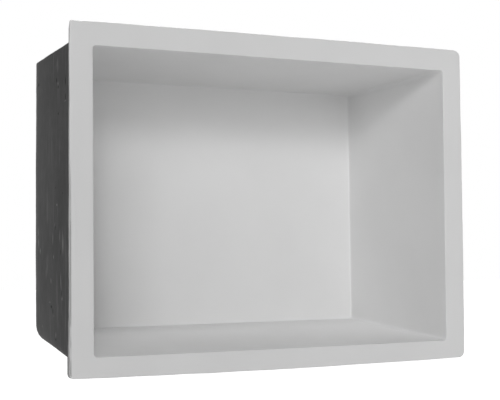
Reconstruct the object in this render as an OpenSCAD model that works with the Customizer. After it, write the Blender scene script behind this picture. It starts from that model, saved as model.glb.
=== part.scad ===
// Recessed shower niche: one moulded shell, a drafted pocket with a flange all round its mouth.
// The wall's surface is the plane y = 0, where the flange's rear face beds on it.
// The room is towards -Y, the pocket runs back into the wall towards +Y, and +Z is up.

/* [Flange] */
// Width of the flange
flange_w = 305; // [292:1:340]
// Height of the flange
flange_h = 229; // [220:1:260]
// Thickness of the flange, which stands in front of the wall
flange_t = 5.5; // [4:0.5:8]
// Radius of the upper left corner, the least worn one
corner_r_top_left = 1; // [0.5:0.5:8]
// Radius of the upper right corner
corner_r_top_right = 5; // [0.5:0.5:8]
// Radius of the lower right corner
corner_r_bottom_right = 4.5; // [0.5:0.5:8]
// Radius of the lower left corner
corner_r_bottom_left = 3; // [0.5:0.5:8]

/* [Pocket] */
// Width of the opening at the flange's front face
opening_w = 273.5; // [240:0.5:274]
// Height of the opening at the flange's front face
opening_h = 199.5; // [170:0.5:200]
// How far the opening's centre is below the flange's centre
opening_drop = 1; // [0:0.5:2]
// Depth from the flange's front face to the pocket's back wall
pocket_depth = 122; // [60:1:140]
// Inward draft of each side wall, in degrees
side_draft = 3.4; // [1:0.1:5]
// Downward draft of the ceiling, in degrees
ceiling_draft = 2; // [0.5:0.5:4]
// Slope of the floor, which sheds water out of the mouth, in degrees
floor_slope = 5; // [2:0.1:6]
// Radius in the pocket's corners
pocket_r = 2; // [1:0.5:4]

/* [Shell] */
// Thickness of the side walls
side_wall = 6.4; // [5:0.2:7]
// Thickness of the top wall at the mouth
top_wall = 7.5; // [6:0.5:8]
// Thickness of the bottom wall at the mouth
bottom_wall = 8.5; // [6:0.5:9]
// Thickness of the back wall
back_wall = 5; // [4:0.5:8]
// Draft of the shell's top, in degrees
shell_top_draft = 0.5; // [0:0.1:1.5]
// Draft of the shell's underside, in degrees
shell_bottom_draft = 4.3; // [2:0.1:5]
// Radius along the shell's crisp edges
shell_edge_r = 1.5; // [1:0.5:2]
// Radius of the lower corners where the shell leaves the flange
lower_r_front = 3; // [2:0.5:6]
// Radius of the lower corners at the shell's back, where the moulding is well rounded
lower_r_back = 11; // [4:0.5:14]

/* [Hidden] */
$fn = 48;
loft_fn = 32;
overlap = 0.1;
overrun = 1;
opening_top = opening_h / 2 - opening_drop;
opening_bottom = -opening_h / 2 - opening_drop;
root_y = -flange_t / 2;
pocket_back_y = pocket_depth - flange_t;
shell_back_y = pocket_back_y + back_wall;

// Edges of the pocket and of the shell, s behind the flange's front face
function pocket_half_w(s) = opening_w / 2 - s * tan(side_draft);
function pocket_top(s) = opening_top - s * tan(ceiling_draft);
function pocket_bottom(s) = opening_bottom + s * tan(floor_slope);
function shell_half_w(s) = pocket_half_w(s) + side_wall;
function shell_top(s) = opening_top + top_wall - s * tan(shell_top_draft);
function shell_bottom(s) = opening_bottom - bottom_wall + s * tan(shell_bottom_draft);

// A plate w by h with a true arc at each corner. radii run clockwise from the upper left.
module corner_plate(w, h, t, radii) {
    x = w / 2;
    z = h / 2;
    tl = radii[0];
    tr = radii[1];
    br = radii[2];
    bl = radii[3];
    linear_extrude(t)
        union() {
            polygon([
                [-x, z - tl],
                [-x + tl, z],
                [x - tr, z],
                [x, z - tr],
                [x, -z + br],
                [x - br, -z],
                [-x + bl, -z],
                [-x, -z + bl]
            ]);
            translate([-x + tl, z - tl]) circle(tl);
            translate([x - tr, z - tr]) circle(tr);
            translate([x - br, -z + br]) circle(br);
            translate([-x + bl, -z + bl]) circle(bl);
        }
}

// Half of a section's corners, mirrored to both sides: lower ones with radius r_low, upper ones r_high
module both_sides(half_w, z_low, z_high, r_low, r_high) {
    for (side = [-1, 1]) {
        translate([side * (half_w - r_low), 0, z_low + r_low])
            children(0);
        translate([side * (half_w - r_high), 0, z_high - r_high])
            children(1);
    }
}

// One corner of an open end: a shallow cone, of which only the rim at its wide end shapes the loft
module corner_disc(r) {
    rotate([-90, 0, 0])
        cylinder(r1 = r, r2 = 0, h = r, $fn = loft_fn);
}

// One corner of a closed end: a puck of radius r and thickness rim, rounded off towards the back
module corner_puck(r, rim) {
    rotate([-90, 0, 0])
        rotate_extrude($fn = loft_fn)
            intersection() {
                union() {
                    square([r - rim + overlap, rim]);
                    translate([r - rim, 0]) circle(rim, $fn = loft_fn);
                }
                square([r, rim]);
            }
}

// The flange, from its front face back to the wall plane
module flange() {
    rotate([90, 0, 0])
        corner_plate(
            flange_w,
            flange_h,
            flange_t,
            [corner_r_top_left, corner_r_top_right, corner_r_bottom_right, corner_r_bottom_left]
        );
}

// The shell's outside, lofted from inside the flange to its back, with its lower corners opening out
module shell_outside() {
    s0 = flange_t + root_y;
    s1 = flange_t + shell_back_y;
    hull() {
        translate([0, root_y, 0])
            both_sides(shell_half_w(s0), shell_bottom(s0), shell_top(s0), lower_r_front, shell_edge_r) {
                corner_disc(lower_r_front);
                corner_disc(shell_edge_r);
            }
        translate([0, shell_back_y - shell_edge_r, 0])
            both_sides(shell_half_w(s1), shell_bottom(s1), shell_top(s1), lower_r_back, shell_edge_r) {
                corner_puck(lower_r_back, shell_edge_r);
                corner_puck(shell_edge_r, shell_edge_r);
            }
    }
}

// The pocket, lofted from just in front of the flange to the back wall
module pocket() {
    hull() {
        translate([0, -flange_t - overrun, 0])
            both_sides(
                pocket_half_w(-overrun),
                pocket_bottom(-overrun),
                pocket_top(-overrun),
                pocket_r,
                pocket_r
            ) {
                corner_disc(pocket_r);
                corner_disc(pocket_r);
            }
        translate([0, pocket_back_y - pocket_r, 0])
            both_sides(
                pocket_half_w(pocket_depth),
                pocket_bottom(pocket_depth),
                pocket_top(pocket_depth),
                pocket_r,
                pocket_r
            ) {
                corner_puck(pocket_r, pocket_r);
                corner_puck(pocket_r, pocket_r);
            }
    }
}

module niche() {
    color("gainsboro")
        difference() {
            union() {
                flange();
                shell_outside();
            }
            pocket();
        }
}

niche();
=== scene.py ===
"""The looks of a recessed shower niche, built round its CAD frame.

The niche is one moulded shell: a drafted pocket with a flange all round its mouth. The flange's front
and the pocket have a smooth pale coat. The outside, which a wall hides, is the raw dark moulding.

The wall's surface is the plane y = 0, the room is towards -Y and +Z is up. Lengths are in metres and
angles in degrees.
"""

from __future__ import annotations

import logging
import math
from contextlib import contextmanager
from dataclasses import dataclass
from dataclasses import field
from dataclasses import replace
from enum import Enum
from enum import IntEnum
from functools import reduce
from itertools import pairwise
from typing import Any
from typing import Callable
from typing import Iterator

import bmesh
import bpy
from mathutils import Matrix
from mathutils import Vector


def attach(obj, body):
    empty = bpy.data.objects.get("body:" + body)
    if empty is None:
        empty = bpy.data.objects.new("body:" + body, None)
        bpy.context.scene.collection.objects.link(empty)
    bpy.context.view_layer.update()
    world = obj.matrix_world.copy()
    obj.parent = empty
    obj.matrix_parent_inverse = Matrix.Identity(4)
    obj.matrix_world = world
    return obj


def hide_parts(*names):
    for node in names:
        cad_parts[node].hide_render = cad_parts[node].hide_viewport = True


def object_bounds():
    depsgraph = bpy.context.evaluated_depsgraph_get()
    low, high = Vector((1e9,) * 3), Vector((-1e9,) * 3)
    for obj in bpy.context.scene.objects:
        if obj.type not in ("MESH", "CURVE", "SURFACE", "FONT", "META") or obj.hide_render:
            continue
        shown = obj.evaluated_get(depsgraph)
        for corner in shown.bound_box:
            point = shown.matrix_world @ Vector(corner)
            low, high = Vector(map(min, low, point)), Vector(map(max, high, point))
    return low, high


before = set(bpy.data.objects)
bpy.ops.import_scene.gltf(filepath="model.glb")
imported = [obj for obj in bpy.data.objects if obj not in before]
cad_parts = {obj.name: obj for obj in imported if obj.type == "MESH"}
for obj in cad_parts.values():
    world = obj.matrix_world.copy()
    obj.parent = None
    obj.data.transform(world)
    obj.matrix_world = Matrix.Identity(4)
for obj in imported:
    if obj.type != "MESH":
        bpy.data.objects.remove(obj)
CAD_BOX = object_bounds()

MM = 0.001
LOG = logging.getLogger("niche")


class Coat(IntEnum):
    """The material slots of the shell."""

    FACE = 0
    RAW = 1


class Corner(IntEnum):
    """The four corners of an outline, clockwise from the upper left."""

    UPPER_LEFT = 0
    UPPER_RIGHT = 1
    LOWER_RIGHT = 2
    LOWER_LEFT = 3


class Kind(Enum):
    """The kinds of element that a mesh has, each with the name of its list."""

    VERT = "verts"
    EDGE = "edges"
    FACE = "faces"


class Side(Enum):
    """The four sides of an outline, each as the way that it faces."""

    LEFT = (-1, 0, 0)
    RIGHT = (1, 0, 0)
    BOTTOM = (0, 0, -1)
    TOP = (0, 0, 1)

    @property
    def outwards(self) -> Vector:
        """The way that the side faces."""
        return Vector(self.value)

    @property
    def along(self) -> int:
        """The axis that the side runs along, 0 for x and 2 for z."""
        return 2 if self.value[0] else 0


@dataclass(frozen=True)
class Section:
    """One closed outline across the moulding, in a plane of constant y.

    The radii are in the order of Corner. A bow is how far the middle of a side stands out from the
    straight line between its corners, and a nudge is how far a corner lies off its true place in x and z.
    """

    name: str
    y: float
    half_w: float
    low: float
    high: float
    radii: tuple[float, float, float, float]
    bows: dict[Side, float] = field(default_factory=dict)
    nudges: dict[Corner, tuple[float, float]] = field(default_factory=dict)

    def corners(self) -> list[Vector]:
        """The true places of the four sharp corners, in the order of Corner."""
        signs = ((-1, self.high), (1, self.high), (1, self.low), (-1, self.low))
        return [Vector((sign * self.half_w, self.y, z)) for sign, z in signs]

    def middle(self, side: Side) -> Vector:
        """The middle of one side.

        Args:
            side: Which side.

        Returns:
            The point half way along it.
        """
        half_h = (self.high - self.low) / 2
        centre = Vector((0, self.y, (self.high + self.low) / 2))
        return centre + side.outwards * Vector((self.half_w, 0, half_h))

    def half_length(self, side: Side) -> float:
        """Half the length of one side."""
        return self.half_w if side.along == 0 else (self.high - self.low) / 2


@dataclass(frozen=True)
class Pocket:
    """The drafted pocket. Distances s run back from the flange's front face."""

    opening_w: float = 273.5 * MM
    opening_h: float = 199.5 * MM
    drop: float = 1.0 * MM
    depth: float = 122.0 * MM
    side_draft: float = 3.5
    ceiling_draft: float = 2.0
    floor_slope: float = 5.0
    corner_r: float = 2.2 * MM
    fillet_r: float = 1.0 * MM
    mouth_r: float = 0.5 * MM
    mouth_bow: float = 0.15 * MM
    mouth_in: float = 0.3 * MM
    back_lean: float = 0.45 * MM

    def half_w(self, s: float) -> float:
        """Half the pocket's width at s."""
        return self.opening_w / 2 - s * math.tan(math.radians(self.side_draft))

    def top(self, s: float) -> float:
        """The ceiling's height at s."""
        return self.opening_h / 2 - self.drop - s * math.tan(math.radians(self.ceiling_draft))

    def bottom(self, s: float) -> float:
        """The floor's height at s."""
        return -self.opening_h / 2 - self.drop + s * math.tan(math.radians(self.floor_slope))

    def section(self, name: str, s: float, front: float) -> Section:
        """The pocket's outline at one distance.

        Args:
            name: The outline's name.
            s: The distance behind the flange's front face.
            front: The y of that face.

        Returns:
            The outline.
        """
        return Section(name, front + s, self.half_w(s), self.bottom(s), self.top(s), (self.corner_r,) * 4)

    def mouth(self, name: str, front: float) -> Section:
        """The opening's outline. Its lower edge sags a little, and its lower corners lie further in."""
        lean = {Corner.LOWER_LEFT: (self.mouth_in, 0), Corner.LOWER_RIGHT: (-self.mouth_in, 0)}
        return replace(self.section(name, 0, front), bows={Side.BOTTOM: self.mouth_bow}, nudges=lean)

    def back(self, name: str, front: float) -> Section:
        """The back wall's outline, whose right side leans over a little.

        Args:
            name: The outline's name.
            front: The y of the flange's front face.

        Returns:
            The outline.
        """
        section = self.section(name, self.depth, front)
        lean = {Corner.UPPER_RIGHT: (-self.back_lean, 0), Corner.LOWER_RIGHT: (self.back_lean, 0)}
        return replace(section, nudges=lean)


@dataclass(frozen=True)
class Flange:
    """The flange. Its edge was dressed by hand, so that its sides bow and lean a little.

    Its two faces fall away by a hair, the front one towards its edge and the rear one towards the shell.
    At the upper left the edge is dressed back towards the rear.
    """

    width: float = 305.0 * MM
    top: float = 114.5 * MM
    bottom: float = -113.7 * MM
    thickness: float = 5.5 * MM
    front_radii: tuple[float, float, float, float] = (1.0 * MM, 5.0 * MM, 4.5 * MM, 3.0 * MM)
    rear_radii: tuple[float, float, float, float] = (5.5 * MM, 5.0 * MM, 4.5 * MM, 3.0 * MM)
    top_lean: float = 0.3 * MM
    dressed_back: float = 1.3 * MM
    left_bow: float = -0.3 * MM
    top_bow: float = 0.4 * MM
    right_bow: float = 0.6 * MM
    bottom_bow: float = 1.3 * MM
    front_edge_r: float = 0.8 * MM
    rear_edge_r: float = 0.5 * MM
    fall: float = 0.02 * MM

    def front(self, name: str) -> Section:
        """The outline at the front face.

        Args:
            name: The outline's name.

        Returns:
            The outline.
        """
        bows = {Side.TOP: self.top_bow, Side.RIGHT: self.right_bow, Side.BOTTOM: self.bottom_bow}
        nudges = {Corner.UPPER_LEFT: (0, -self.top_lean), Corner.UPPER_RIGHT: (0, self.top_lean)}
        y = self.fall - self.thickness
        return Section(name, y, self.width / 2, self.bottom, self.top, self.front_radii, bows, nudges)

    def rear(self, name: str) -> Section:
        """The outline at the rear face.

        Args:
            name: The outline's name.

        Returns:
            The outline.
        """
        front = self.front(name)
        bows = {**front.bows, Side.LEFT: self.left_bow}
        nudges = {**front.nudges, Corner.UPPER_LEFT: (self.dressed_back, -self.top_lean)}
        return replace(front, y=0, radii=self.rear_radii, bows=bows, nudges=nudges)


@dataclass(frozen=True)
class Outside:
    """The shell's outside, whose lower corners open out towards the back."""

    side_wall: float = 6.7 * MM
    top_wall: float = 8.3 * MM
    bottom_wall: float = 8.8 * MM
    back_wall: float = 5.0 * MM
    top_draft: float = 0.5
    bottom_draft: float = 4.5
    edge_r: float = 1.8 * MM
    lower_r_front: float = 3.0 * MM
    lower_r_back: float = 13.0 * MM
    root_fillet_r: float = 1.0 * MM
    back_edge_r: float = 0.8 * MM
    rear_bow: float = 0.7 * MM
    rear_in: float = 0.15 * MM

    def section(self, name: str, s: float, front: float, lower_r: float, pocket: Pocket) -> Section:
        """The shell's outline at one distance.

        Args:
            name: The outline's name.
            s: The distance behind the flange's front face.
            front: The y of that face.
            lower_r: The radius of the lower corners there.
            pocket: The pocket that the walls stand round.

        Returns:
            The outline.
        """
        high = pocket.top(0) + self.top_wall - s * math.tan(math.radians(self.top_draft))
        low = pocket.bottom(0) - self.bottom_wall + s * math.tan(math.radians(self.bottom_draft))
        radii = (self.edge_r, self.edge_r, lower_r, lower_r)
        return Section(name, front + s, pocket.half_w(s) + self.side_wall, low, high, radii)

    def rear(self, name: str, s: float, front: float, pocket: Pocket) -> Section:
        """The outline of the shell's back, whose left side bulges a little.

        Args:
            name: The outline's name.
            s: The distance behind the flange's front face.
            front: The y of that face.
            pocket: The pocket that the walls stand round.

        Returns:
            The outline.
        """
        section = self.section(name, s, front, self.lower_r_back, pocket)
        lean = {Corner.UPPER_LEFT: (self.rear_in, 0), Corner.LOWER_LEFT: (self.rear_in, 0)}
        return replace(section, bows={Side.LEFT: self.rear_bow}, nudges=lean)


class Workpiece:
    """A mesh object that is shaped in edit mode."""

    def __init__(self, body: bpy.types.Object) -> None:
        """Takes the object to be shaped."""
        self.body = body

    @contextmanager
    def editing(self) -> Iterator[None]:
        """Holds the object in edit mode, alone and with nothing selected.

        Returns:
            A context that lasts as long as edit mode does.
        """
        bpy.ops.object.select_all(action="DESELECT")
        self.body.select_set(True)
        bpy.context.view_layer.objects.active = self.body
        bpy.ops.object.mode_set(mode="EDIT")
        self.restart(Kind.VERT)
        yield
        bpy.ops.object.mode_set(mode="OBJECT")

    def restart(self, kind: Kind) -> None:
        """Turns to one kind of element, with nothing selected."""
        bpy.ops.mesh.select_mode(type=kind.name)
        bpy.ops.mesh.select_all(action="DESELECT")

    def nearest(self, place: Vector, extend: bool = False) -> None:
        """Selects the vertex nearest to a place and makes it the active one.

        Args:
            place: The place.
            extend: Whether what is selected already stays so, and the vertex is one of it.
        """
        mesh = bmesh.from_edit_mesh(self.body.data)
        if not extend:
            bpy.ops.mesh.select_all(action="DESELECT")
        among = [vert for vert in mesh.verts if vert.select or not extend]
        vert = min(among, key=lambda each: (each.co - place).length)
        vert.select = True
        mesh.select_history.add(vert)
        mesh.select_flush_mode()
        bmesh.update_edit_mesh(self.body.data)

    def choose(self, kind: Kind, wanted: Callable[[Any], bool]) -> None:
        """Selects the elements of one kind that a test wants.

        Args:
            kind: Which kind.
            wanted: The test, which is given one element.
        """
        self.restart(kind)
        mesh = bmesh.from_edit_mesh(self.body.data)
        for element in getattr(mesh, kind.value):
            element.select = wanted(element)
        mesh.select_flush_mode()
        bmesh.update_edit_mesh(self.body.data)

    def rings(self, *names: str) -> None:
        """Selects the rings of vertices that belong to the named sections."""
        self.restart(Kind.VERT)
        for name in names:
            self.body.vertex_groups.active = self.body.vertex_groups[name]
            bpy.ops.object.vertex_group_select()

    def coat(self, coat: Coat) -> None:
        """Gives the selected faces one of the shell's coats."""
        self.body.active_material_index = coat
        bpy.ops.object.material_slot_assign()

    def apply(self, kind: str, **settings: Any) -> None:
        """Adds one modifier and applies it.

        Args:
            kind: The modifier's type.
            **settings: Its settings.
        """
        bpy.context.view_layer.objects.active = self.body
        modifier = self.body.modifiers.new(kind.title(), kind)
        for name, value in settings.items():
            setattr(modifier, name, value)
        bpy.ops.object.modifier_apply(modifier=modifier.name)


@dataclass(frozen=True)
class Unevenness:
    """One scale of the uneven surface that hand laying leaves.

    A texture drives it, and leaves the surface in place where its level is the middle one.
    """

    name: str
    size: float
    height: float
    octaves: int
    middle: float = 0.5


@dataclass
class Shell:
    """The whole moulding, lofted from the pocket's back wall round the flange to the shell's rear."""

    name: str = "niche_shell"
    pocket: Pocket = Pocket()
    flange: Flange = Flange()
    outside: Outside = Outside()
    unevenness: tuple[Unevenness, ...] = (
        Unevenness("laid_waves", 38 * MM, 0.7 * MM, 1),
        Unevenness("laid_ripples", 9 * MM, 0.25 * MM, 2),
    )
    corner_steps: int = 6
    half_columns: int = 46
    half_rows: int = 34
    rounding_steps: int = 4
    pocket_steps: int = 20
    wall_steps: int = 44
    front_steps: int = 5
    rear_steps: int = 3
    long_edge: float = 3.5 * MM
    ring_share: float = 0.5
    smooth_angle: float = 40.0

    def sections(self) -> list[Section]:
        """The outlines that the shell is lofted through.

        Returns:
            The outlines, in order.
        """
        front = -self.flange.thickness
        pocket = self.pocket
        outside = self.outside
        root_s = self.flange.thickness - self.flange.fall
        rear_s = pocket.depth + outside.back_wall
        return [
            pocket.back("pocket_back", front),
            pocket.mouth("mouth", front),
            self.flange.front("front_edge"),
            self.flange.rear("rear_edge"),
            outside.section("root", root_s, front, outside.lower_r_front, pocket),
            outside.rear("rear", rear_s, front, pocket),
        ]

    def outline(self, section: Section) -> bpy.types.Object:
        """Draws one section: a plane with its corners rounded, cut along its sides and bowed.

        Args:
            section: The outline to draw.

        Returns:
            A wire ring whose vertices are in a group of the section's name.
        """
        centre = (0, section.y, (section.low + section.high) / 2)
        bpy.ops.object.select_all(action="DESELECT")
        bpy.ops.mesh.primitive_plane_add(size=1, location=centre, rotation=(math.pi / 2, 0, 0))
        ring = Workpiece(bpy.context.object)
        ring.body.scale = (2 * section.half_w, section.high - section.low, 1)
        bpy.ops.object.transform_apply(location=True, rotation=True, scale=True)
        with ring.editing():
            for corner, place in enumerate(section.corners()):
                across, up = section.nudges.get(corner, (0, 0))
                radius = section.radii[corner]
                ring.nearest(place)
                bpy.ops.transform.translate(value=(across, 0, up))
                bpy.ops.mesh.bevel(offset=radius, segments=self.corner_steps, affect="VERTICES")
            bpy.ops.mesh.select_all(action="SELECT")
            bpy.ops.mesh.delete(type="ONLY_FACE")
            self.cut_sides(ring, Side.TOP, section.half_length(Side.TOP), self.half_columns)
            self.cut_sides(ring, Side.LEFT, section.half_length(Side.LEFT), self.half_rows)
            bpy.ops.mesh.select_mode(type=Kind.VERT.name)
            for side, bow in section.bows.items():
                ring.nearest(section.middle(side))
                bpy.ops.transform.translate(
                    value=side.outwards * bow,
                    use_proportional_edit=True,
                    proportional_edit_falloff="INVERSE_SQUARE",
                    proportional_size=section.half_length(side),
                )
        group = ring.body.vertex_groups.new(name=section.name)
        group.add([vert.index for vert in ring.body.data.vertices], 1, "REPLACE")
        return ring.body

    def cut_sides(self, ring: Workpiece, side: Side, half_length: float, half_pieces: int) -> None:
        """Cuts one side of an outline and the side opposite, each from its middle.

        Args:
            ring: The outline.
            side: One of the two sides.
            half_length: Half the side's length.
            half_pieces: How many pieces each half is cut into.
        """
        ring.choose(Kind.EDGE, lambda edge: abs(self.span(edge)[side.along]) > half_length)
        bpy.ops.mesh.subdivide(number_cuts=1)
        bpy.ops.mesh.subdivide(number_cuts=half_pieces - 1)

    def loft(self, coats: tuple[bpy.types.Material, ...]) -> Workpiece:
        """Joins the outlines into one closed shell with sharp edges.

        Args:
            coats: The materials, in the order of Coat.

        Returns:
            The shell.
        """
        sections = self.sections()
        outlines = [self.outline(section) for section in sections]
        bpy.ops.object.select_all(action="DESELECT")
        for outline in outlines:
            outline.select_set(True)
        bpy.context.view_layer.objects.active = outlines[0]
        bpy.ops.object.join()
        shell = Workpiece(outlines[0])
        shell.body.name = self.name
        for coat in coats:
            shell.body.data.materials.append(coat)
        with shell.editing():
            for first, second in pairwise(sections):
                shell.rings(first.name, second.name)
                bpy.ops.mesh.bridge_edge_loops()
                shell.coat(Coat.FACE if second.name in ("mouth", "front_edge") else Coat.RAW)
            for end, coat in ((sections[0], Coat.FACE), (sections[-1], Coat.RAW)):
                shell.rings(end.name)
                bpy.ops.mesh.edge_face_add()
                shell.coat(coat)
            bpy.ops.mesh.select_all(action="SELECT")
            bpy.ops.mesh.normals_make_consistent(inside=False)
        return shell

    def round_edges(self, shell: Workpiece) -> None:
        """Rounds each ring of edges to its own radius.

        Args:
            shell: The shell.
        """
        radii = {
            "pocket_back": self.pocket.fillet_r,
            "mouth": self.pocket.mouth_r,
            "front_edge": self.flange.front_edge_r,
            "rear_edge": self.flange.rear_edge_r,
            "root": self.outside.root_fillet_r,
            "rear": self.outside.back_edge_r,
        }
        for name, radius in radii.items():
            with shell.editing():
                shell.rings(name)
                bpy.ops.mesh.bevel(
                    offset=radius,
                    segments=self.rounding_steps,
                    affect="EDGES",
                    clamp_overlap=False,
                )
            bpy.ops.object.vertex_group_clean(group_select_mode="ALL", limit=self.ring_share)

    def cut_faces(self, shell: Workpiece) -> None:
        """Cuts the broad faces into small ones, so that the surface can be uneven.

        Args:
            shell: The shell.
        """
        wall = self.pocket.depth / 2
        with shell.editing():
            self.cut_long(shell, Coat.FACE, (wall, math.inf), self.pocket_steps)
            self.cut_long(shell, Coat.RAW, (wall, math.inf), self.wall_steps)
            self.cut_long(shell, Coat.FACE, (self.long_edge, wall), self.front_steps)
            self.cut_long(shell, Coat.RAW, (self.long_edge, wall), self.rear_steps)

    def cut_long(self, shell: Workpiece, coat: Coat, lengths: tuple[float, float], pieces: int) -> None:
        """Cuts the edges inside one coat whose length is between two limits.

        Args:
            shell: The shell.
            coat: The coat.
            lengths: The two limits.
            pieces: How many pieces each edge is cut into.
        """
        shortest, longest = lengths
        shell.choose(
            Kind.EDGE,
            lambda edge: shortest < edge.calc_length() < longest
            and all(face.material_index == coat for face in edge.link_faces),
        )
        bpy.ops.mesh.subdivide(number_cuts=pieces - 1)

    def grid_ends(self, shell: Workpiece) -> None:
        """Puts a grid in place of each of the two flat ends.

        Args:
            shell: The shell.
        """
        sections = self.sections()
        with shell.editing():
            self.grid_end(shell, sections[0], Coat.FACE)
            self.grid_end(shell, sections[-1], Coat.RAW)
            bpy.ops.mesh.select_all(action="SELECT")
            bpy.ops.mesh.normals_make_consistent(inside=False)

    def grid_end(self, shell: Workpiece, end: Section, coat: Coat) -> None:
        """Puts a grid in place of one flat end, which is a single many-sided face.

        Args:
            shell: The shell.
            end: The section that the end closes.
            coat: The coat that the end has.
        """
        quad = 4
        shell.choose(Kind.FACE, lambda face: len(face.verts) > quad and face.material_index == coat)
        bpy.ops.mesh.delete(type="ONLY_FACE")
        shell.choose(Kind.EDGE, lambda edge: edge.is_boundary)
        shell.nearest(end.corners()[Corner.UPPER_LEFT], extend=True)
        bpy.ops.mesh.fill_grid(span=2 * self.half_columns + self.corner_steps)
        shell.coat(coat)

    def roughen(self, shell: Workpiece) -> None:
        """Gives the outside the uneven surface of a moulding that was laid up by hand.

        Args:
            shell: The shell.
        """
        group = shell.body.vertex_groups.new(name="laid_side")
        raw = {
            index
            for face in shell.body.data.polygons
            for index in face.vertices
            if face.material_index == Coat.RAW
        }
        group.add(sorted(raw), 1, "REPLACE")
        for scale in self.unevenness:
            texture = bpy.data.textures.new(scale.name, "CLOUDS")
            texture.noise_scale = scale.size
            texture.noise_depth = scale.octaves
            shell.apply(
                "DISPLACE",
                texture=texture,
                texture_coords="LOCAL",
                strength=scale.height,
                mid_level=scale.middle,
                vertex_group=group.name,
            )

    def build(self, coats: tuple[bpy.types.Material, ...]) -> bpy.types.Object:
        """Builds the shell.

        Args:
            coats: The materials, in the order of Coat.

        Returns:
            The finished piece.
        """
        shell = self.loft(coats)
        self.round_edges(shell)
        self.cut_faces(shell)
        self.grid_ends(shell)
        self.roughen(shell)
        bpy.ops.object.shade_smooth_by_angle(angle=math.radians(self.smooth_angle))
        shell.body.vertex_groups.clear()
        return shell.body

    @staticmethod
    def span(edge: bmesh.types.BMEdge) -> Vector:
        """The way from one end of an edge to the other."""
        return edge.verts[1].co - edge.verts[0].co


@dataclass(frozen=True)
class Noise:
    """Soft noise. Its level goes from about 0.2 to 0.8, or from 0 to 1 between its limits if it has them.

    Its spots are as big as size, and stretch times as long along x, y and z.
    """

    size: float
    detail: float
    stretch: tuple[float, float, float] = (1, 1, 1)
    shift: float = 0.0
    limits: tuple[float, float] | None = None


@dataclass(frozen=True)
class Dots:
    """Scattered soft dots, one a cell at most. The core is the share of the radius that is full."""

    cell: float
    radius: float
    share: float
    shift: float
    core: float = 0.3


class Number:
    """A number that varies over a surface. Arithmetic on it adds Math nodes."""

    def __init__(self, graph: Graph, socket: bpy.types.NodeSocket) -> None:
        """Takes the node tree and the output that gives the number."""
        self.graph = graph
        self.socket = socket

    def math(self, operation: str, *values: Number | float) -> Number:
        """Adds one Math node.

        Args:
            operation: The node's operation.
            *values: What its inputs take, in order.

        Returns:
            The result.
        """
        settings = {"operation": operation}
        node = self.graph.add("ShaderNodeMath", settings, dict(enumerate(values)))
        return Number(self.graph, node.outputs[0])

    def __add__(self, other: Number | float) -> Number:
        """Adds."""
        return self.math("ADD", self, other)

    def __sub__(self, other: Number | float) -> Number:
        """Subtracts."""
        return self.math("SUBTRACT", self, other)

    def __rsub__(self, other: Number | float) -> Number:
        """Subtracts from a plain number."""
        return self.math("SUBTRACT", other, self)

    def __mul__(self, other: Number | float) -> Number:
        """Multiplies."""
        return self.math("MULTIPLY", self, other)

    __radd__ = __add__
    __rmul__ = __mul__

    def larger(self, other: Number | float) -> Number:
        """The larger of two numbers."""
        return self.math("MAXIMUM", self, other)

    def root(self) -> Number:
        """The square root."""
        return self.math("SQRT", self)

    def below(self, limit: float) -> Number:
        """1 where the number is below a limit, and 0 elsewhere."""
        return self.math("LESS_THAN", self, limit)

    def rise(self, low: float, high: float) -> Number:
        """A soft step, up or down.

        Args:
            low: Where it is 0.
            high: Where it is 1.

        Returns:
            The step at every point.
        """
        limits = {"Value": self, "From Min": low, "From Max": high}
        node = self.graph.add("ShaderNodeMapRange", {"interpolation_type": "SMOOTHSTEP"}, limits)
        return Number(self.graph, node.outputs["Result"])


class MixSocket(IntEnum):
    """The places of the sockets that a Mix node has for colours."""

    RESULT = 2
    SHARE = 0
    FIRST = 6
    SECOND = 7


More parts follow.
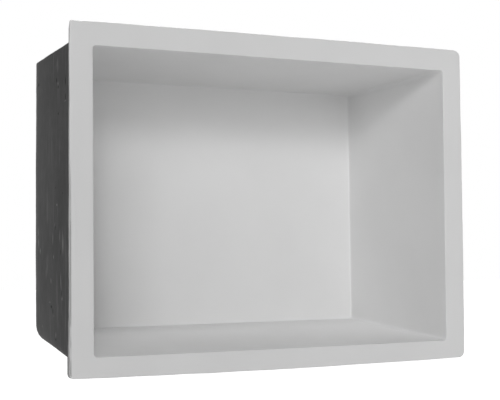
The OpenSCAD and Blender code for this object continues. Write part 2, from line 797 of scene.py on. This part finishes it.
class Graph:
    """The node tree of a material or of the world, and the patterns that a finish is made of."""

    def __init__(self, owner: bpy.types.Material | bpy.types.World) -> None:
        """Empties the node tree and starts it with the object's coordinates.

        Args:
            owner: The material or the world.
        """
        owner.use_nodes = True
        self.tree = owner.node_tree
        self.tree.nodes.clear()
        coordinates = self.add("ShaderNodeTexCoord")
        self.place = coordinates.outputs["Object"]
        parts = self.add("ShaderNodeSeparateXYZ", inputs={0: self.place})
        self.x, self.y, self.z = (Number(self, socket) for socket in parts.outputs)

    def add(
        self,
        kind: str,
        settings: dict[str, Any] | None = None,
        inputs: dict[int | str, Any] | None = None,
    ) -> bpy.types.Node:
        """Adds one node.

        Args:
            kind: The node's type.
            settings: Its settings, which are set first.
            inputs: The value or link of each socket, by name or number.

        Returns:
            The node.
        """
        node = self.tree.nodes.new(kind)
        for name, value in (settings or {}).items():
            setattr(node, name, value)
        for key, value in (inputs or {}).items():
            source = value.socket if isinstance(value, Number) else value
            if isinstance(source, bpy.types.NodeSocket):
                self.tree.links.new(source, node.inputs[key])
            else:
                node.inputs[key].default_value = source
        return node

    def stretched(self, size: float, stretch: tuple[float, float, float], shift: float) -> Any:
        """The object's coordinates, counted in units of a pattern's size.

        Args:
            size: The size of one unit.
            stretch: How many units long the pattern is along x, y and z.
            shift: How far the pattern is moved off, in units.

        Returns:
            The output that gives the coordinates.
        """
        scale = [1 / (size * part) for part in stretch]
        inputs = {"Vector": self.place, "Location": (shift, shift, shift), "Scale": scale}
        return self.add("ShaderNodeMapping", inputs=inputs).outputs[0]

    def noise(self, noise: Noise) -> Number:
        """Draws noise.

        Args:
            noise: The noise to draw.

        Returns:
            Its level at every point.
        """
        place = self.stretched(noise.size, noise.stretch, noise.shift)
        inputs = {"Vector": place, "Scale": 1.0, "Detail": noise.detail}
        level = Number(self, self.add("ShaderNodeTexNoise", inputs=inputs).outputs["Fac"])
        return level.rise(*noise.limits) if noise.limits else level

    def dots(self, dots: Dots) -> Number:
        """Draws scattered dots.

        Args:
            dots: The dots to draw.

        Returns:
            1 at the core of a dot and 0 outside it.
        """
        place = self.stretched(dots.cell, (1, 1, 1), dots.shift)
        node = self.add("ShaderNodeTexVoronoi", inputs={"Vector": place, "Scale": 1.0})
        lot = self.add("ShaderNodeSeparateColor", inputs={0: node.outputs["Color"]})
        distance = Number(self, node.outputs["Distance"])
        radius = dots.radius / dots.cell
        return distance.rise(radius, dots.core * radius) * Number(self, lot.outputs[0]).below(dots.share)

    def mix(self, share: Number | float, first: Any, second: Any) -> bpy.types.NodeSocket:
        """Mixes two colours.

        Args:
            share: The share of the second one.
            first: A colour or the output that gives it.
            second: The other one.

        Returns:
            The output that gives the mixture.
        """
        inputs = {MixSocket.SHARE: share, MixSocket.FIRST: first, MixSocket.SECOND: second}
        return self.add("ShaderNodeMix", {"data_type": "RGBA"}, inputs).outputs[MixSocket.RESULT]

    def between(self, share: Number, first: Number, second: Number) -> Number:
        """A number that goes from the first to the second as share goes from 0 to 1."""
        return first + (second - first) * share

    def seen(self) -> Number:
        """Tells the rays that show the surroundings, straight or by reflection.

        Returns:
            1 for those rays and 0 for the rest.
        """
        path = self.add("ShaderNodeLightPath").outputs
        names = ("Is Camera Ray", "Is Glossy Ray", "Is Transmission Ray")
        return reduce(Number.larger, (Number(self, path[name]) for name in names))

    def surface(self, layer: Layer, specular: float) -> None:
        """Ends the graph in one shader.

        Args:
            layer: The finish at every point.
            specular: The strength of the reflections.
        """
        relief = {"Strength": 1.0, "Distance": MM, "Height": layer.height}
        bump = self.add("ShaderNodeBump", inputs=relief)
        shader = self.add(
            "ShaderNodeBsdfPrincipled",
            inputs={
                "Base Color": layer.colour,
                "Roughness": layer.roughness,
                "Specular IOR Level": specular,
                "Normal": bump.outputs[0],
            },
        )
        self.add("ShaderNodeOutputMaterial", inputs={"Surface": shader.outputs[0]})


def grey(level: float) -> tuple[float, float, float, float]:
    """A neutral grey of one reflectance."""
    return (level, level, level, 1.0)


def around(noise: Number, middle: float, swing: float) -> Number:
    """A number that noise swings about its middle."""
    return noise * swing + (middle - swing / 2)


@dataclass(frozen=True)
class Layer:
    """What one finish does at every point of a surface. The relief is in millimetres."""

    colour: bpy.types.NodeSocket
    roughness: Number
    height: Number


@dataclass(frozen=True)
class PaleCoat:
    """The smooth pale coat of the face and the pocket.

    The flange's face has painted shade: it is a little greyer than the pocket, and greyer still towards
    the lower left, so that its upper right reads as more lit. Reliefs are in millimetres.
    """

    light: float = 0.76
    shade: float = 0.735
    cloud: Noise = Noise(60 * MM, 2, limits=(0.35, 0.7))
    cloud_share: float = 0.7
    grain: Noise = Noise(0.45 * MM, 1, shift=5)
    grain_share: float = 0.3
    grain_relief: float = 0.004
    ripple: Noise = Noise(9 * MM, 1, shift=2)
    ripple_relief: float = 0.008
    specks: Dots = Dots(34 * MM, 0.35 * MM, 0.25, shift=3)
    speck: float = 0.86
    smear: Noise = Noise(12 * MM, 4, shift=9)
    roughness: float = 0.5
    roughness_swing: float = 0.12
    specular: float = 0.3
    # Painted shade: the flange's face, in front of these two distances, is darkened, more towards the
    # lower left.
    shaded: tuple[float, float] = (-4.9 * MM, -5.3 * MM)
    face_shade: float = 0.127
    shade_across: float = -0.16
    shade_up: float = -0.16
    worn_edge: tuple[float, float] = (-151.2 * MM, -152.067 * MM)
    worn_height: tuple[float, float] = (35 * MM, -10 * MM)
    worn_ragged: Noise = Noise(7 * MM, 3, (1, 1, 3), 15, (0.25, 0.55))
    worn: float = 0.24

    def layer(self, graph: Graph, shaded: Number | float) -> Layer:
        """Draws the finish.

        Args:
            graph: The material's node tree.
            shaded: How much of the flange's painted shade the coat takes, from 0 to 1.

        Returns:
            The finish at every point.
        """
        grain = graph.noise(self.grain)
        tone = graph.noise(self.cloud) * self.cloud_share + grain * self.grain_share
        colour = graph.mix(tone, grey(self.light), grey(self.shade))
        # Painted shade: darkens the coat, more towards the lower left and less towards the upper right.
        painted_shade = graph.x * self.shade_across + graph.z * self.shade_up + self.face_shade
        colour = graph.mix(painted_shade * shaded, colour, grey(0))
        colour = graph.mix(graph.dots(self.specks), colour, grey(self.speck))
        roughness = around(graph.noise(self.smear), self.roughness, self.roughness_swing)
        height = graph.noise(self.ripple) * self.ripple_relief + grain * self.grain_relief
        return Layer(colour, roughness, height)

    def material(self) -> bpy.types.Material:
        """Makes the material. Along the lower part of the left edge the coat is worn thin, and ragged.

        Returns:
            The material.
        """
        material = bpy.data.materials.new("pale_coat")
        graph = Graph(material)
        # The flange's face, in front of the pocket's mouth, takes the painted shade in full; the pocket
        # takes none.
        coat = self.layer(graph, graph.y.rise(*self.shaded))
        zone = graph.z.rise(*self.worn_height) * graph.noise(self.worn_ragged)
        worn = graph.mix(graph.x.rise(*self.worn_edge) * zone, coat.colour, grey(self.worn))
        graph.surface(replace(coat, colour=worn), self.specular)
        return material


@dataclass(frozen=True)
class Spot:
    """One mark on the raw left side: an upright soft spot, all lengths in millimetres."""

    back: float
    high: float
    half_w: float
    half_h: float
    lean: float = 0.0
    strength: float = 1.0


@dataclass(frozen=True)
class RawMoulding:
    """The raw, dark side of the moulding, which faces into the wall.

    Reliefs, and how far in front of the wall the pale coat ends on the flange's edge, are in millimetres.
    """

    dark: float = 0.062
    light: float = 0.115
    cloud: Noise = Noise(34 * MM, 3, (1, 1, 2), limits=(0.3, 0.7))
    cloud_share: float = 0.3
    fibre: Noise = Noise(1.1 * MM, 3, (1, 1, 7), 4)
    fibre_limits: tuple[float, float] = (0.25, 0.75)
    fibre_share: float = 0.25
    fibre_relief: float = 0.05
    grain: Noise = Noise(0.7 * MM, 2, shift=6)
    grain_limits: tuple[float, float] = (0.3, 0.7)
    grain_share: float = 0.1
    grain_relief: float = 0.05
    # Painted shade: the side is darker next to the flange, fading out between these two distances.
    flange_shade_fade: tuple[float, float] = (58 * MM, 112 * MM)
    flange_shade_share: float = 0.35
    streaks: Noise = Noise(4 * MM, 3, (1, 1, 12), 11, (0.56, 0.74))
    streak_strength: float = 0.5
    # Painted highlight: a lighter band along the side's rounded rear edge, where it catches light.
    rear_edge: tuple[float, float] = (113 * MM, 119.5 * MM)
    rear_highlight_strength: float = 0.75
    # The pale grey of the streaks, and of the painted highlight along the rear edge.
    streaks_and_highlight: float = 0.17
    scuff: float = 0.42
    scuff_relief: float = 0.03
    broken_limits: tuple[float, float] = (0.36, 0.6)
    broken_share: float = 0.75
    specks: Dots = Dots(15 * MM, 0.55 * MM, 0.35, shift=1)
    speck_strength: float = 0.7
    # Painted shade: the near-black colour of the pits and pocks stands in for the shade in their hollows.
    pit_shade: float = 0.012
    pit_relief: float = 0.3
    pocks: Dots = Dots(21 * MM, 0.9 * MM, 0.4, shift=7)
    pock_strength: float = 0.8
    smear: Noise = Noise(8 * MM, 4, shift=9)
    roughness: float = 0.66
    roughness_swing: float = 0.24
    specular: float = 0.03
    marked_side: tuple[float, float] = (-130 * MM, -134 * MM)
    mark_limits: tuple[float, float] = (1.25, 0.1)
    scuffs: tuple[Spot, ...] = (
        Spot(58.5, 95, 3.0, 6.0, 0, 0.2),
        Spot(57.5, 82, 0.8, 1.1, 0, 0.8),
        Spot(116, 92, 1.2, 4.0, 0, 0.3),
        Spot(38.6, 67.9, 3.2, 0.6, 0, 0.6),
        Spot(59.5, -1.3, 0.9, 1.0, 0, 1.0),
        Spot(87.0, -2.4, 3.0, 16.0, 0, 0.12),
        Spot(65.8, -15.5, 0.8, 2.4, 0, 0.5),
        Spot(113.5, -18.8, 1.2, 4.0, 0, 0.5),
        Spot(52.4, -22.7, 1.0, 5.5, 8, 0.5),
        Spot(71.3, -24.5, 0.9, 5.0, 0, 0.4),
        Spot(112.1, -26.8, 1.3, 4.5, -6, 0.6),
        Spot(44.6, -28, 2.2, 9.0, 0, 0.5),
        Spot(107.6, -32.8, 1.2, 2.6, 10, 0.8),
        Spot(69.2, -36.9, 0.8, 1.6, 0, 0.5),
        Spot(88.6, -44.0, 3.4, 10.0, 20, 0.2),
        Spot(118, -49, 1.4, 6.0, 0, 0.3),
        Spot(77.1, -53.6, 1.0, 2.4, 0, 0.6),
        Spot(50.5, -54.0, 1.1, 6.5, -6, 0.45),
        Spot(47.7, -65.2, 0.8, 1.6, 0, 0.6),
        Spot(60.0, -68.0, 4.0, 26.0, -3, 0.12),
        Spot(81, -68.5, 2.6, 0.9, 0, 0.25),
        Spot(70.0, -77.6, 0.9, 1.2, 0, 0.4),
        Spot(103.4, -86.2, 1.0, 1.3, 0, 0.35),
        Spot(66.3, -90.5, 1.4, 2.2, 0, 0.4),
    )
    pits: tuple[Spot, ...] = (
        Spot(113, 88, 2.0, 1.6, 0, 0.8),
        Spot(60.5, 84.5, 1.8, 2.2, 0, 0.9),
        Spot(56.8, 79.5, 1.8, 1.4, 0, 0.8),
        Spot(37.5, 81, 1.6, 3.4, 0, 0.9),
        Spot(37.5, 70.5, 1.6, 3.0, 0, 0.9),
        Spot(57, 61.2, 1.8, 1.0, 0, 0.8),
        Spot(64.5, -16.4, 1.8, 2.2, 0, 0.9),
        Spot(50.3, -33.5, 1.2, 2.6, 0, 0.8),
        Spot(49.2, -61.5, 1.4, 3.4, 0, 0.8),
        Spot(76.5, -71.5, 2.6, 1.2, 0, 0.9),
        Spot(72.5, -74.5, 1.3, 2.6, 10, 0.9),
        Spot(65.5, -93.5, 1.8, 1.2, 0, 0.7),
    )
    pale: PaleCoat = PaleCoat()
    coat_ends: float = 3.1
    worn_coat_ends: float = 4.5
    worn_height: tuple[float, float] = (25 * MM, -35 * MM)
    ragged: Noise = Noise(5 * MM, 4, (1, 1, 1.6), 13)
    ragged_reach: float = 1.6
    coat_limits: tuple[float, float] = (-0.4, 0.4)
    rubbed_limits: tuple[float, float] = (-3.3, -2.3)
    rim_zone: tuple[float, float] = (-0.2 * MM, -0.8 * MM)
    rubbed: float = 0.42

    def spots(self, graph: Graph, spots: tuple[Spot, ...]) -> Number:
        """Draws marks where they lie on the left side.

        Args:
            graph: The material's node tree.
            spots: The marks.

        Returns:
            The strength of the mark at every point, 0 where there is none.
        """
        marks = reduce(Number.larger, (self.mark(graph, spot) for spot in spots))
        return marks * graph.x.rise(*self.marked_side)

    def mark(self, graph: Graph, spot: Spot) -> Number:
        """Draws one mark, in plain numbers alone.

        Vectors here would make the renderer run out of room for the shader.

        Args:
            graph: The material's node tree.
            spot: The mark.

        Returns:
            The mark's strength at every point.
        """
        lean = math.radians(spot.lean)
        back = graph.y - spot.back * MM
        high = graph.z - spot.high * MM
        across, along = back, high
        if spot.lean:
            across = back * math.cos(lean) + high * math.sin(lean)
            along = high * math.cos(lean) - back * math.sin(lean)
        across = across * (1 / (spot.half_w * MM))
        along = along * (1 / (spot.half_h * MM))
        distance = (across * across + along * along).root()
        return distance.rise(*self.mark_limits) * spot.strength

    def charcoal(self, graph: Graph) -> Layer:
        """Draws the bare moulding.

        Args:
            graph: The material's node tree.

        Returns:
            The finish at every point.
        """
        fibre = graph.noise(self.fibre)
        grain = graph.noise(self.grain)
        tone = graph.noise(self.cloud) * self.cloud_share
        tone = tone + fibre.rise(*self.fibre_limits) * self.fibre_share
        tone = tone + grain.rise(*self.grain_limits) * self.grain_share
        # Painted shade: the side is darker towards the flange, whose overhang shades it, and paler
        # towards the back.
        tone = tone + graph.y.rise(*self.flange_shade_fade) * self.flange_shade_share
        colour = graph.mix(tone, grey(self.dark), grey(self.light))
        colour = graph.mix(graph.noise(self.streaks) * self.streak_strength, colour, grey(self.streaks_and_highlight))
        # Painted highlight: lightens a band along the rounded rear edge.
        rear_edge = graph.y.rise(*self.rear_edge) * self.rear_highlight_strength
        colour = graph.mix(rear_edge, colour, grey(self.streaks_and_highlight))
        broken = fibre.rise(*self.broken_limits) * self.broken_share + (1 - self.broken_share)
        scuffs = self.spots(graph, self.scuffs) * broken
        specks = graph.dots(self.specks) * self.speck_strength
        colour = graph.mix(scuffs.larger(specks), colour, grey(self.scuff))
        # The pits and pocks are dents in the relief, coloured near black as painted shade in their
        # hollows.
        pits = self.spots(graph, self.pits).larger(graph.dots(self.pocks) * self.pock_strength)
        colour = graph.mix(pits, colour, grey(self.pit_shade))
        roughness = around(graph.noise(self.smear), self.roughness, self.roughness_swing)
        height = fibre * self.fibre_relief + grain * self.grain_relief
        height = height - pits * self.pit_relief + scuffs * self.scuff_relief
        return Layer(colour, roughness, height)

    def material(self) -> bpy.types.Material:
        """Makes the material. The pale coat turns over the flange's edge and ends there, ragged.

        Returns:
            The material.
        """
        material = bpy.data.materials.new("raw_moulding")
        graph = Graph(material)
        bare = self.charcoal(graph)
        # The pale coat on the flange's edge takes the flange's painted shade in full.
        coat = self.pale.layer(graph, 1.0)
        ragged = graph.noise(self.ragged) * (2 * self.ragged_reach) - self.ragged_reach
        ends = graph.z.rise(*self.worn_height) * (self.worn_coat_ends - self.coat_ends) + self.coat_ends
        depth = graph.y * (-1 / MM) + ragged - ends
        rubbed = depth.rise(*self.rubbed_limits) * graph.y.rise(*self.rim_zone)
        colour = graph.mix(rubbed, bare.colour, grey(self.rubbed))
        covered = depth.rise(*self.coat_limits)
        layer = Layer(
            graph.mix(covered, colour, coat.colour),
            graph.between(covered, bare.roughness, coat.roughness),
            graph.between(covered, bare.height, coat.height),
        )
        graph.surface(layer, self.specular)
        return material


@dataclass(frozen=True)
class Lamp:
    """A broad lamp, so far off that its light is even. Azimuth 0 is in front and -90 to the left."""

    name: str
    azimuth: float
    elevation: float
    spread: float
    light: float

    def build(self) -> None:
        """Adds the lamp."""
        across = math.radians(self.azimuth)
        above = math.radians(self.elevation)
        level = Vector((math.sin(across), -math.cos(across), 0))
        way = level * math.cos(above) + Vector((0, 0, math.sin(above)))
        bpy.ops.object.select_all(action="DESELECT")
        bpy.ops.object.light_add(type="SUN", rotation=way.to_track_quat("Z", "Y").to_euler())
        lamp = bpy.context.object
        lamp.name = self.name
        lamp.data.angle = math.radians(self.spread)
        lamp.data.energy = self.light * math.pi


@dataclass(frozen=True)
class Studio:
    """A plain pale floor, soft light and a white surround."""

    drop: float = 0.30
    reach: float = 12.0
    floor_grey: float = 0.8
    floor_seen: float = 0.45
    fill: float = 0.02
    lamps: tuple[Lamp, ...] = (
        Lamp("key", -28.0, 12.0, 30.0, 0.287),
        Lamp("second", -20.0, 18.0, 12.0, 0.17),
        Lamp("side", -44.0, 4.0, 30.0, 0.049),
        Lamp("upper", 0.0, 60.0, 12.0, 0.206),
        Lamp("rear", 150.0, 38.0, 16.0, 0.862),
    )

    def build(self, low: Vector) -> bpy.types.Object:
        """Builds the studio.

        Args:
            low: The lowest corner of the object.

        Returns:
            The floor.
        """
        self.surround()
        for lamp in self.lamps:
            lamp.build()
        bpy.ops.object.select_all(action="DESELECT")
        bpy.ops.mesh.primitive_plane_add(size=2 * self.reach, location=(0, 0, low.z - self.drop))
        floor = bpy.context.object
        floor.name = "floor"
        bpy.ops.object.transform_apply(location=True, rotation=True, scale=True)
        floor.data.materials.append(self.floor_material())
        return floor

    def surround(self) -> None:
        """Sets the world: white where it is seen, and a faint fill light everywhere else."""
        world = bpy.data.worlds.new("studio")
        bpy.context.scene.world = world
        graph = Graph(world)
        strength = graph.seen() * (1 - self.fill) + self.fill
        background = graph.add("ShaderNodeBackground", inputs={"Color": grey(1), "Strength": strength})
        graph.add("ShaderNodeOutputWorld", inputs={"Surface": background.outputs[0]})

    def floor_material(self) -> bpy.types.Material:
        """Makes the floor's material: pale, and white where it is seen in full light.

        Returns:
            The material.
        """
        material = bpy.data.materials.new("floor")
        graph = Graph(material)
        shader = graph.add(
            "ShaderNodeBsdfPrincipled",
            inputs={
                "Base Color": grey(self.floor_grey),
                "Roughness": 1.0,
                "Specular IOR Level": 0.0,
                "Emission Color": grey(1),
                "Emission Strength": graph.seen() * self.floor_seen,
            },
        )
        graph.add("ShaderNodeOutputMaterial", inputs={"Surface": shader.outputs[0]})
        return material


@dataclass(frozen=True)
class PhotoCamera:
    """The camera at the photograph's viewing angle."""

    place: tuple[float, float, float] = (-0.39784, -0.74152, -0.03537)
    yaw: float = 26.882
    pitch: float = 2.498
    roll: float = -0.497
    focal_px: float = 1215.2
    image_px: float = 500.0
    sensor_mm: float = 36.0

    def build(self) -> None:
        """Adds the camera and makes it the scene's."""
        yaw = math.radians(self.yaw)
        pitch = math.radians(self.pitch)
        ahead = Vector((math.sin(yaw), math.cos(yaw), 0))
        look = ahead * math.cos(pitch) + Vector((0, 0, math.sin(pitch)))
        upright = look.to_track_quat("-Z", "Y").to_matrix()
        turn = upright @ Matrix.Rotation(math.radians(self.roll), len(look), "Z")
        bpy.ops.object.select_all(action="DESELECT")
        bpy.ops.object.camera_add(location=self.place, rotation=turn.to_euler())
        camera = bpy.context.object
        camera.name = "photo_camera"
        camera.data.sensor_width = self.sensor_mm
        camera.data.lens = self.focal_px / self.image_px * self.sensor_mm
        bpy.context.scene.camera = camera


def main() -> None:
    """Builds the niche, the studio and the camera, in that order."""
    logging.basicConfig(level=logging.INFO, format="%(message)s")
    bpy.context.scene.view_settings.view_transform = "Standard"
    coats = (PaleCoat().material(), RawMoulding().material())
    shell = Shell().build(coats)
    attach(shell, "root")
    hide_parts("niche")
    LOG.info("%s: %d faces", shell.name, len(shell.data.polygons))
    studio = Studio()
    floor = studio.build(CAD_BOX[0])
    LOG.info("%s: %.2f m below the niche, with %d lamps", floor.name, studio.drop, len(studio.lamps))
    PhotoCamera().build()


if __name__ == "__main__":
    main()
